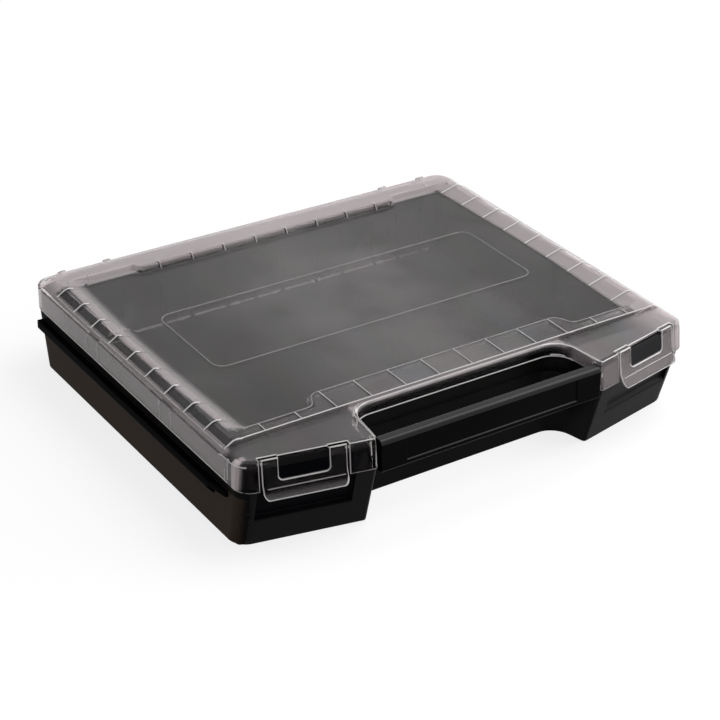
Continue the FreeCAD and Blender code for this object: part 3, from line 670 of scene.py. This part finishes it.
clearEdges = {
    "edge": 0.00050,
    "frameEdge": 0.00034,
    "segments": 2,
    "sharp": 25.0,
    "reach": 0.004,      # a face that looks out of the plan within this reach belongs to the outer skin
    "upward": 0.35,
    "lineBelow": 0.0600,
    "gleamFoot": 0.0475,
    "lineFront": -0.1050,
    "frontFacing": 0.6,
    "frameHalf": 0.1400,
    "frameDeep": 0.0800,
}


def outerFace(face):
    if face.normal.z > clearEdges["upward"]:
        return True
    ahead = face.calc_center_median() + face.normal * clearEdges["reach"]
    return not insidePlan(ahead.x, ahead.y)


def sortCreases(bm):
    rounded = []
    for edge in creases(bm, clearEdges["sharp"]):
        outer = [outerFace(face) for face in edge.link_faces]
        upward = [face.normal.z > clearEdges["upward"] for face in edge.link_faces]
        if all(upward):
            continue
        if edge.is_convex and any(outer):
            rounded.append(edge)
        else:
            edge.smooth = False
    return rounded


softSetup = {
    "side": 0.0040,
    "end": 0.0010,
    "panel": 0.0030,
    "flat": 0.999,
    "panelNear": 0.00002,
    "slope": (0.4, 0.99),
}


def softenPanel(bm):
    # Rings inside the slopes and the panel let the shading turn slowly where they meet
    rings = {"side": [], "end": [], "panel": []}
    slopeLow, slopeHigh = softSetup["slope"]
    for face in bm.faces:
        middle = face.calc_center_median()
        normal = face.normal
        if normal.z > softSetup["flat"] and abs(middle.z - levels["panel"]) < softSetup["panelNear"]:
            rings["panel"].append(face)
        elif slopeLow < normal.z < slopeHigh and middle.z > levels["panel"]:
            if abs(normal.x) > abs(normal.y) and normal.x * middle.x < 0.0:
                rings["side"].append(face)
            elif normal.y * (middle.y - hazeSheenSetup["bowMiddle"]) < 0.0:
                rings["end"].append(face)
    for ring, faces in rings.items():
        bmesh.ops.inset_region(bm, faces=faces, thickness=softSetup[ring], use_boundary=True,
                               use_even_offset=True)
    print("panel softened", {ring: len(faces) for ring, faces in rings.items()})


flapEdges = dict(clearEdges, edge=0.00060, slit=0.0009, half=0.0300, lipFoot=0.0416)
pivotReach = {"lid": 0.0042, "flap": 0.0023}
joints = {joint["name"]: joint for joint in frame["record"]["behaviour"]["joints"]}
latchAxis = {
    "place": Vector(joints["latch_right_hinge"]["pos_m"]),
    "along": -Vector(joints["latch_right_hinge"]["axis"]),
}


def latchPlace(place):
    # How far a place lies along the latch axis of its own side, and how far away from it
    offset = Vector((abs(place.x), place.y, place.z)) - latchAxis["place"]
    along = offset.dot(latchAxis["along"])
    return along, (offset - latchAxis["along"] * along).length


def pivotFace(face, reach):
    return latchPlace(face.calc_center_median())[1] < reach and not outerFace(face)


stepSetup = {
    "low": 0.0625,
    "high": 0.0656,
    "front": -0.1150,
    "back": 0.1400,
    "wall": 0.1783,
    "wallNear": 0.0002,
    "facing": 0.95,
}


def stepFace(face):
    # The step along a side skirt looks into the dark of the case
    middle = face.calc_center_median()
    if not stepSetup["low"] < middle.z < stepSetup["high"]:
        return False
    if not stepSetup["front"] < middle.y < stepSetup["back"]:
        return False
    beyond = abs(middle.x) - stepSetup["wall"]
    ledge = face.normal.z > stepSetup["facing"] and beyond > 0.0
    wall = abs(face.normal.x) > stepSetup["facing"] and abs(beyond) < stepSetup["wallNear"]
    return ledge or wall


def narrowFlap(bm):
    # The slit beside a flap opens to its full width
    for vert in bm.verts:
        along = latchPlace(vert.co)[0]
        shift = latchAxis["along"] * (-along * flapEdges["slit"] / flapEdges["half"])
        vert.co += Vector((math.copysign(shift.x, shift.x * vert.co.x), shift.y, shift.z))


def frontFace(face):
    middle = face.calc_center_median()
    low = middle.y < clearEdges["lineFront"] and middle.z < levels["terrace"]
    return low and abs(face.normal.y) > clearEdges["frontFacing"]


def frameEdge(edge):
    middle = (edge.verts[0].co + edge.verts[1].co) / 2.0
    return abs(middle.x) < clearEdges["frameHalf"] and abs(middle.y) < clearEdges["frameDeep"]


def clearPiece(pieceName, nodeName, body, setup, material):
    materials = [material, edgeHighlight, lineHighlight, frontClear, ribClear, lidGleam]
    bm = solidMesh(nodeName)
    if nodeName == "lid":
        softenPanel(bm)
        for face in bm.faces:
            if ribFace(face) or stepFace(face) or pivotFace(face, pivotReach["lid"]):
                face.material_index = materials.index(ribClear)
            elif frontFace(face):
                face.material_index = materials.index(frontClear)
    else:
        for face in bm.faces:
            if pivotFace(face, pivotReach["flap"]):
                face.material_index = materials.index(ribClear)
        narrowFlap(bm)
    rounded = sortCreases(bm)
    if "lipFoot" in setup:    # the thin foot of a flap's lip stays sharp
        for edge in rounded:
            edge.smooth = max(vert.co.z for vert in edge.verts) > setup["lipFoot"]
        rounded = [edge for edge in rounded if edge.smooth]
    frameEdges = [edge for edge in rounded if frameEdge(edge)]
    otherEdges = [edge for edge in rounded if not frameEdge(edge)]
    if frameEdges:
        for face in roundEdges(bm, frameEdges, setup, "frameEdge"):
            face.material_index = materials.index(lineHighlight)
    for face in roundEdges(bm, otherEdges, setup):
        middle = face.calc_center_median()
        if middle.z < setup["lineBelow"] or middle.y < setup["lineFront"]:
            # Edges on the left above the foot take the dimmer painted highlight, the others the brighter one
            dim = middle.x < 0.0 and middle.z > setup["gleamFoot"]
            face.material_index = materials.index(edgeHighlight if dim else lidGleam)
    placePiece(bm, pieceName, body, materials, nodeName)


clearPiece("lidShell", "lid", "lid", clearEdges, lidClear)
clearPiece("latchFlapLeft", "latch_flap_left", "latch_left", flapEdges, flapClear)
clearPiece("latchFlapRight", "latch_flap_right", "latch_right", flapEdges, flapClear)
for pinName in ("hinge_pin_left", "hinge_pin_right"):
    frame["nodes"][pinName].data.materials[0] = pinSteel
for pinName in ("latch_pins_left", "latch_pins_right"):
    frame["nodes"][pinName].data.materials[0] = ribClear

# Low ridges that stand on the lid's skin and carry painted highlights: rungs over the ribs, and moulded
# lines on the skirts

ridgeSetup = {"height": 0.00035, "sunk": 0.0002, "shoulders": 0.45}


def ridgeSection(path, index, out, width):
    # The four corners of a ridge where it crosses one point of its path; out points away from the skin
    along = (path[min(len(path) - 1, index + 1)] - path[max(0, index - 1)]).normalized()
    across = along.cross(out).normalized()
    up = across.cross(along)
    foot = across * (0.5 * width) - up * ridgeSetup["sunk"]
    shoulder = across * (0.5 * width * ridgeSetup["shoulders"]) + up * ridgeSetup["height"]
    mirror = [corner - across * (2.0 * corner.dot(across)) for corner in (shoulder, foot)]
    return [path[index] + corner for corner in (mirror[1], mirror[0], shoulder, foot)]


def addStrip(bm, path, out, width):
    corners = ridgeSection(path, 0, out, width)
    start = [bm.verts.new(corner) for corner in corners]
    end = bmesh.ops.contextual_create(bm, geom=start)["faces"][0]
    for index in range(1, len(path)):
        grown = bmesh.ops.extrude_face_region(bm, geom=[end])["geom"]
        if index > 1:
            bmesh.ops.delete(bm, geom=[end], context="FACES_ONLY")    # no wall stays inside the ridge
        end = next(item for item in grown if isinstance(item, bmesh.types.BMFace))
        ends = [min(end.verts, key=lambda vert: (vert.co - corner).length) for corner in corners]
        corners = ridgeSection(path, index, out, width)
        for vert, corner in zip(ends, corners):
            vert.co = corner


def mirrored(path):
    # The other half of a path that is the same on both sides, in reverse order
    return [Vector((-point.x, point.y, point.z)) for point in reversed(path)]


def stripPiece(bm, pieceName, materials, body="lid"):
    bmesh.ops.recalc_face_normals(bm, faces=bm.faces)
    for face in bm.faces:
        face.smooth = True
    placePiece(bm, pieceName, body, materials)


rungSetup = {
    "outer": (0.1766, 0.0658),
    "brow": (0.1702, 0.0697),
    "browGap": 0.0005,
    "crestMiddle": 0.1695,
    "crestEnds": 0.1668,
    "bowHalf": 0.0360,
    "bowRun": 0.0700,
    "slope": 0.0135,
    "hook": 0.0030,
    "width": 0.0012,
}


def crestAt(y):
    beyond = max(0.0, abs(y - hazeSheenSetup["bowMiddle"]) - rungSetup["bowHalf"]) / rungSetup["bowRun"]
    return rungSetup["crestMiddle"] - (rungSetup["crestMiddle"] - rungSetup["crestEnds"]) * min(1.0, beyond)


def makeRungs():
    bm = bmesh.new()
    fall = (levels["crest"] - levels["panel"]) / rungSetup["slope"]
    for side in (-1.0, 1.0):
        for y in sideRibs():
            crest = crestAt(y)
            profile = [rungSetup["outer"], rungSetup["brow"]]
            if crest < rungSetup["brow"][0] - rungSetup["browGap"]:
                profile.append((crest, levels["crest"]))
            # On the right the rungs run down the inner slope, a longer painted highlight for the light from
            # the right
            reach = rungSetup["hook"] if side < 0.0 else rungSetup["slope"]
            profile.append((crest - reach, levels["crest"] - fall * reach))
            path = [Vector((side * x, y, z)) for x, z in profile]
            addStrip(bm, path, straightUp, rungSetup["width"])
    stripPiece(bm, "rimRungs", [lidGleam])


makeRungs()

tickSetup = {
    "frontStart": -0.1134,
    "bayEnd": -0.0911,
    "bayHalf": 0.0960,
    "earEnd": -0.1046,
    "backFoot": 0.1185,
    "backCrest": 0.1211,
    "backEnd": 0.1240,
    "backEar": 0.1468,
    "earDepth": 0.0075,
    "width": 0.0007,
    "crownLine": ((-0.1580, -0.1046), (-0.1100, -0.1046), (-0.1067, -0.1036), (-0.1047, -0.1014),
                  (-0.1011, -0.0943), (-0.0993, -0.0923), (-0.0965, -0.0911)),
}


def makeTicks():
    bm = bmesh.new()
    for x in endRibs(ribSetup["frontCount"]):
        end = tickSetup["bayEnd"] if abs(x) < tickSetup["bayHalf"] else tickSetup["earEnd"]
        path = [Vector((x, tickSetup["frontStart"], levels["crest"])), Vector((x, end, levels["crest"]))]
        addStrip(bm, path, straightUp, tickSetup["width"])
    for x in endRibs(ribSetup["backCount"]) + [-tickSetup["backEar"], tickSetup["backEar"]]:
        shift = tickSetup["earDepth"] if abs(x) > tickSetup["bayHalf"] else 0.0
        path = [Vector((x, tickSetup["backFoot"] + shift, levels["panel"])),
                Vector((x, tickSetup["backCrest"] + shift, levels["crest"])),
                Vector((x, tickSetup["backEnd"] + shift, levels["crest"]))]
        addStrip(bm, path, straightUp, tickSetup["width"])
    stripPiece(bm, "crownTicks", [edgeHighlight])


def makeCrownLine():
    half = [Vector((x, y, levels["crest"])) for x, y in tickSetup["crownLine"]]
    bm = bmesh.new()
    addStrip(bm, half + mirrored(half), straightUp, tickSetup["width"])
    stripPiece(bm, "crownLine", [lineHighlight])


makeTicks()
makeCrownLine()

# The foot of the lid's wall around the back of the bay, drawn as a painted highlight

baySetup = {
    "back": -0.1150,
    "straight": 0.0703,
    "radius": 0.0167,
    "turn": 83.0,
    "steps": 7,
    "z": 0.0580,
    "width": 0.0011,
}


def makeBayLine():
    radius = baySetup["radius"]
    half = []
    for step in range(baySetup["steps"] + 1):
        turn = math.radians(baySetup["turn"] * step / baySetup["steps"])
        x = baySetup["straight"] + radius * math.sin(turn)
        y = baySetup["back"] - radius * (1.0 - math.cos(turn))
        half.append(Vector((x, y, baySetup["z"])))
    bm = bmesh.new()
    addStrip(bm, mirrored(half) + half, straightUp, baySetup["width"])
    stripPiece(bm, "bayLine", [lidGleam])


makeBayLine()

skirtSetup = {
    "x": 0.1800,
    "footZ": 0.0474,
    "footFront": -0.1230,
    "footBack": 0.1380,
    "footWidth": 0.0007,
    "padMiddles": (-0.04375, 0.05825),
    "padHalf": 0.0075,
    "padLow": 0.0490,
    "padHigh": 0.0618,
    "padWidth": 0.0006,
    "cornerY": -0.1195,
    "cornerLow": 0.0480,
    "cornerHigh": 0.0560,
    "ridge": (0.1768, 0.0657),
    "ridgeFront": -0.1125,
    "ridgeBack": 0.1195,
    "ridgeOut": (0.50, 0.0, 0.87),
}


def makeSkirtLines():
    bm = bmesh.new()
    for side in (-1.0, 1.0):
        x = side * skirtSetup["x"]
        out = Vector((side, 0.0, 0.0))
        foot = skirtSetup["footZ"]
        addStrip(bm, [Vector((x, skirtSetup["footFront"], foot)), Vector((x, skirtSetup["footBack"], foot))],
                 out, skirtSetup["footWidth"])
        for middle in skirtSetup["padMiddles"]:
            for y in (middle - skirtSetup["padHalf"], middle + skirtSetup["padHalf"]):
                addStrip(bm, [Vector((x, y, skirtSetup["padLow"])), Vector((x, y, skirtSetup["padHigh"]))],
                         out, skirtSetup["padWidth"])
        y = skirtSetup["cornerY"]
        addStrip(bm, [Vector((x, y, skirtSetup["cornerLow"])), Vector((x, y, skirtSetup["cornerHigh"]))],
                 out, skirtSetup["footWidth"])
    stripPiece(bm, "skirtLines", [lidGleam])


def makeRidgeLines():
    bm = bmesh.new()
    x, z = skirtSetup["ridge"]
    outX, outY, outZ = skirtSetup["ridgeOut"]
    for side in (-1.0, 1.0):
        path = [Vector((side * x, y, z)) for y in (skirtSetup["ridgeFront"], skirtSetup["ridgeBack"])]
        addStrip(bm, path, Vector((side * outX, outY, outZ)), skirtSetup["footWidth"])
    stripPiece(bm, "ridgeLines", [lineHighlight])


makeSkirtLines()
makeRidgeLines()

# The crease across each flap, where its lip starts to lean out

lipSetup = {
    "z": 0.0480,
    "depth": -0.0010,
    "ends": (0.1125, 0.1632),
    "out": (0.165, -0.83, 0.53),
    "width": 0.0007,
}


def makeLipLine(pieceName, body, side, material):
    turn = math.atan(plan["sweep"])
    path = []
    for x in lipSetup["ends"]:
        y = sweptFront(x) + math.cos(turn) * lipSetup["depth"]
        path.append(Vector((side * (x - math.sin(turn) * lipSetup["depth"]), y, lipSetup["z"])))
    outX, outY, outZ = lipSetup["out"]
    bm = bmesh.new()
    addStrip(bm, path, Vector((side * outX, outY, outZ)), lipSetup["width"])
    stripPiece(bm, pieceName, [material], body)


# The right lip line takes the brighter painted highlight
makeLipLine("lipLineLeft", "latch_left", -1.0, lineHighlight)
makeLipLine("lipLineRight", "latch_right", 1.0, lidGleam)

# A painted highlight along the foot of the tray's back wall, broken by the ribs that stand there

gleamSetup = {
    "ribs": (0.0, 0.0245, 0.0550, 0.0790, 0.1095, 0.1320, 0.1545, 0.1640),
    "gap": 0.0018,
    "y": 0.1428,
    "z": 0.0042,
    "out": (0.0, -0.71, 0.71),
    "width": 0.0026,
    "cloud": 0.020,
    "dark": (0.12, 0.116, 0.116),
    "light": (0.20, 0.193, 0.193),
    "rough": (0.20, 0.30),
    "gloss": 1.0,
}


def paintedCornerGleam(name):
    material, tree, shader, place = newMaterial(name)
    cloud = noiseOf(tree, place, gleamSetup["cloud"])
    colour = mixColours(tree, cloud, gleamSetup["dark"], gleamSetup["light"])
    tree.links.new(colour, shader.inputs["Base Color"])
    tree.links.new(spreadOf(tree, cloud, *gleamSetup["rough"]), shader.inputs["Roughness"])
    shader.inputs["Specular IOR Level"].default_value = gleamSetup["gloss"]
    return material


def makeFloorGleam():
    bm = bmesh.new()
    out = Vector(gleamSetup["out"])
    for side in (-1.0, 1.0):
        for first, second in zip(gleamSetup["ribs"], gleamSetup["ribs"][1:]):
            path = [Vector((side * x, gleamSetup["y"], gleamSetup["z"]))
                    for x in (first + gleamSetup["gap"], second - gleamSetup["gap"])]
            addStrip(bm, path, out, gleamSetup["width"])
    stripPiece(bm, "floorGleam", [paintedCornerGleam("cornerGleamPaint")], "tray")


makeFloorGleam()


# Floor, world and lamps

floorSetup = {
    "half": 6.0,
    "colour": (0.24, 0.24, 0.24),
    "rough": 0.9,
    "lift": 0.78,    # brings the lit floor up to white for the eye and for mirrors, its shadow stays
    "liftFar": 0.90,    # the lamps fade far from the case, so the floor there is lifted more
    "far": (0.8, 2.4),
}


def makeFloor():
    bm = bmesh.new()
    bmesh.ops.create_grid(bm, x_segments=1, y_segments=1, size=floorSetup["half"])
    mesh = bpy.data.meshes.new("paleFloor")
    bm.to_mesh(mesh)
    bm.free()
    material, tree, shader, place = newMaterial("paleFloor")
    shader.inputs["Base Color"].default_value = (*floorSetup["colour"], 1.0)
    shader.inputs["Roughness"].default_value = floorSetup["rough"]
    shader.inputs["Specular IOR Level"].default_value = 0.0
    away = tree.nodes.new("ShaderNodeVectorMath")
    away.operation = "LENGTH"
    tree.links.new(place, away.inputs[0])
    lift = softStep(tree, away.outputs["Value"], floorSetup["far"],
                    floorSetup["lift"], floorSetup["liftFar"])
    tree.links.new(productOf(tree, seenRays(tree), lift), shader.inputs["Emission Strength"])
    shader.inputs["Emission Color"].default_value = white
    mesh.materials.append(material)
    floor = bpy.data.objects.new("paleFloor", mesh)
    scene.collection.objects.link(floor)


worldSetup = {"fill": 0.50, "seen": 1.0}    # strength of the light on the case, and of the white seen


def makeWorld():
    world = bpy.data.worlds.new("studioWorld")
    scene.world = world
    world.use_nodes = True
    tree = world.node_tree
    tree.nodes.clear()
    out = tree.nodes.new("ShaderNodeOutputWorld")
    sky = tree.nodes.new("ShaderNodeBackground")
    strength = rangeOf(tree, seenRays(tree), (0.0, 1.0), worldSetup["fill"], worldSetup["seen"])
    tree.links.new(strength, sky.inputs["Strength"])
    sky.inputs["Color"].default_value = white
    tree.links.new(sky.outputs["Background"], out.inputs["Surface"])


lampSetup = {
    "overheadBox": {"place": (0.98, -0.16, 1.70), "aim": (0.0, 0.0, 0.03), "size": 1.5, "watts": 24.0},
    "rightBox": {"place": (1.85, -0.85, 0.75), "aim": (0.0, 0.0, 0.03), "size": 1.2, "watts": 14.0},
}


def makeLamps():
    for name, setup in lampSetup.items():
        data = bpy.data.lights.new(name, "AREA")
        data.shape = "SQUARE"
        data.size = setup["size"]
        data.energy = setup["watts"]
        lamp = bpy.data.objects.new(name, data)
        lamp.location = setup["place"]
        aim = Vector(setup["aim"]) - Vector(setup["place"])
        lamp.rotation_euler = aim.to_track_quat("-Z", "Y").to_euler()
        lamp.visible_transmission = False    # no speckle from lamps seen through the clear lid
        scene.collection.objects.link(lamp)


makeFloor()
makeWorld()
makeLamps()
print("floor, world and lamps set")
